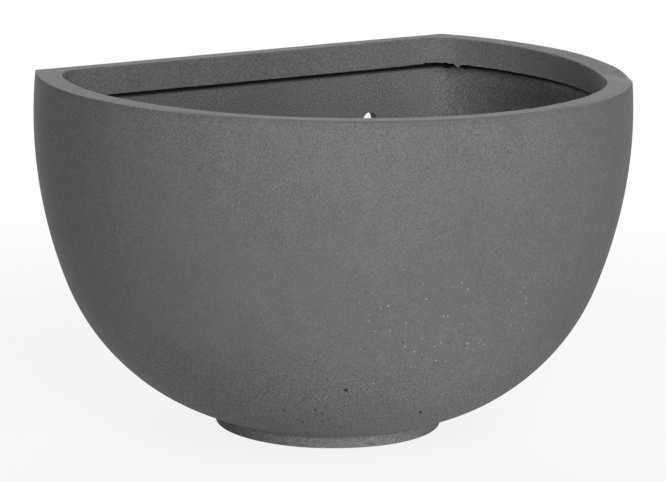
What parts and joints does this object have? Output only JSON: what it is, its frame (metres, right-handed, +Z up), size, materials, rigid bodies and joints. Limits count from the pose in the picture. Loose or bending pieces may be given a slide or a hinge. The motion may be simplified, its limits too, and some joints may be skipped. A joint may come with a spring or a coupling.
{
  "type": "wall planter",
  "caption": "Flat-backed round bowl planter in dark grey fibre stone, with a turned-in rim, a short round foot, wall-screw holes in the back and a drain plug.",
  "frame": {"origin": "centre of the round foot's underside, on the axis of the bowl, at the level it stands on", "axes": "+Z up, X along the wall, +Y towards the wall, so the flat back faces +Y and the round front faces -Y"},
  "size_m": [0.4999, 0.3799, 0.3],
  "materials": {
    "fibre_stone": "matt, fine-grained, with small pinholes and pale specks",
    "plug_rubber": "matt black rubber"
  },
  "bodies": {
    "pot": {"shell": "fibre_stone", "rim_lip": "fibre_stone"},
    "plug": {"drain_plug": "plug_rubber"}
  },
  "joints": [
    {"name": "plug_pull", "type": "slide", "parent": "pot", "child": "plug", "axis": [0, 0, 1], "range_m": [0, 0.06]}
  ]
}
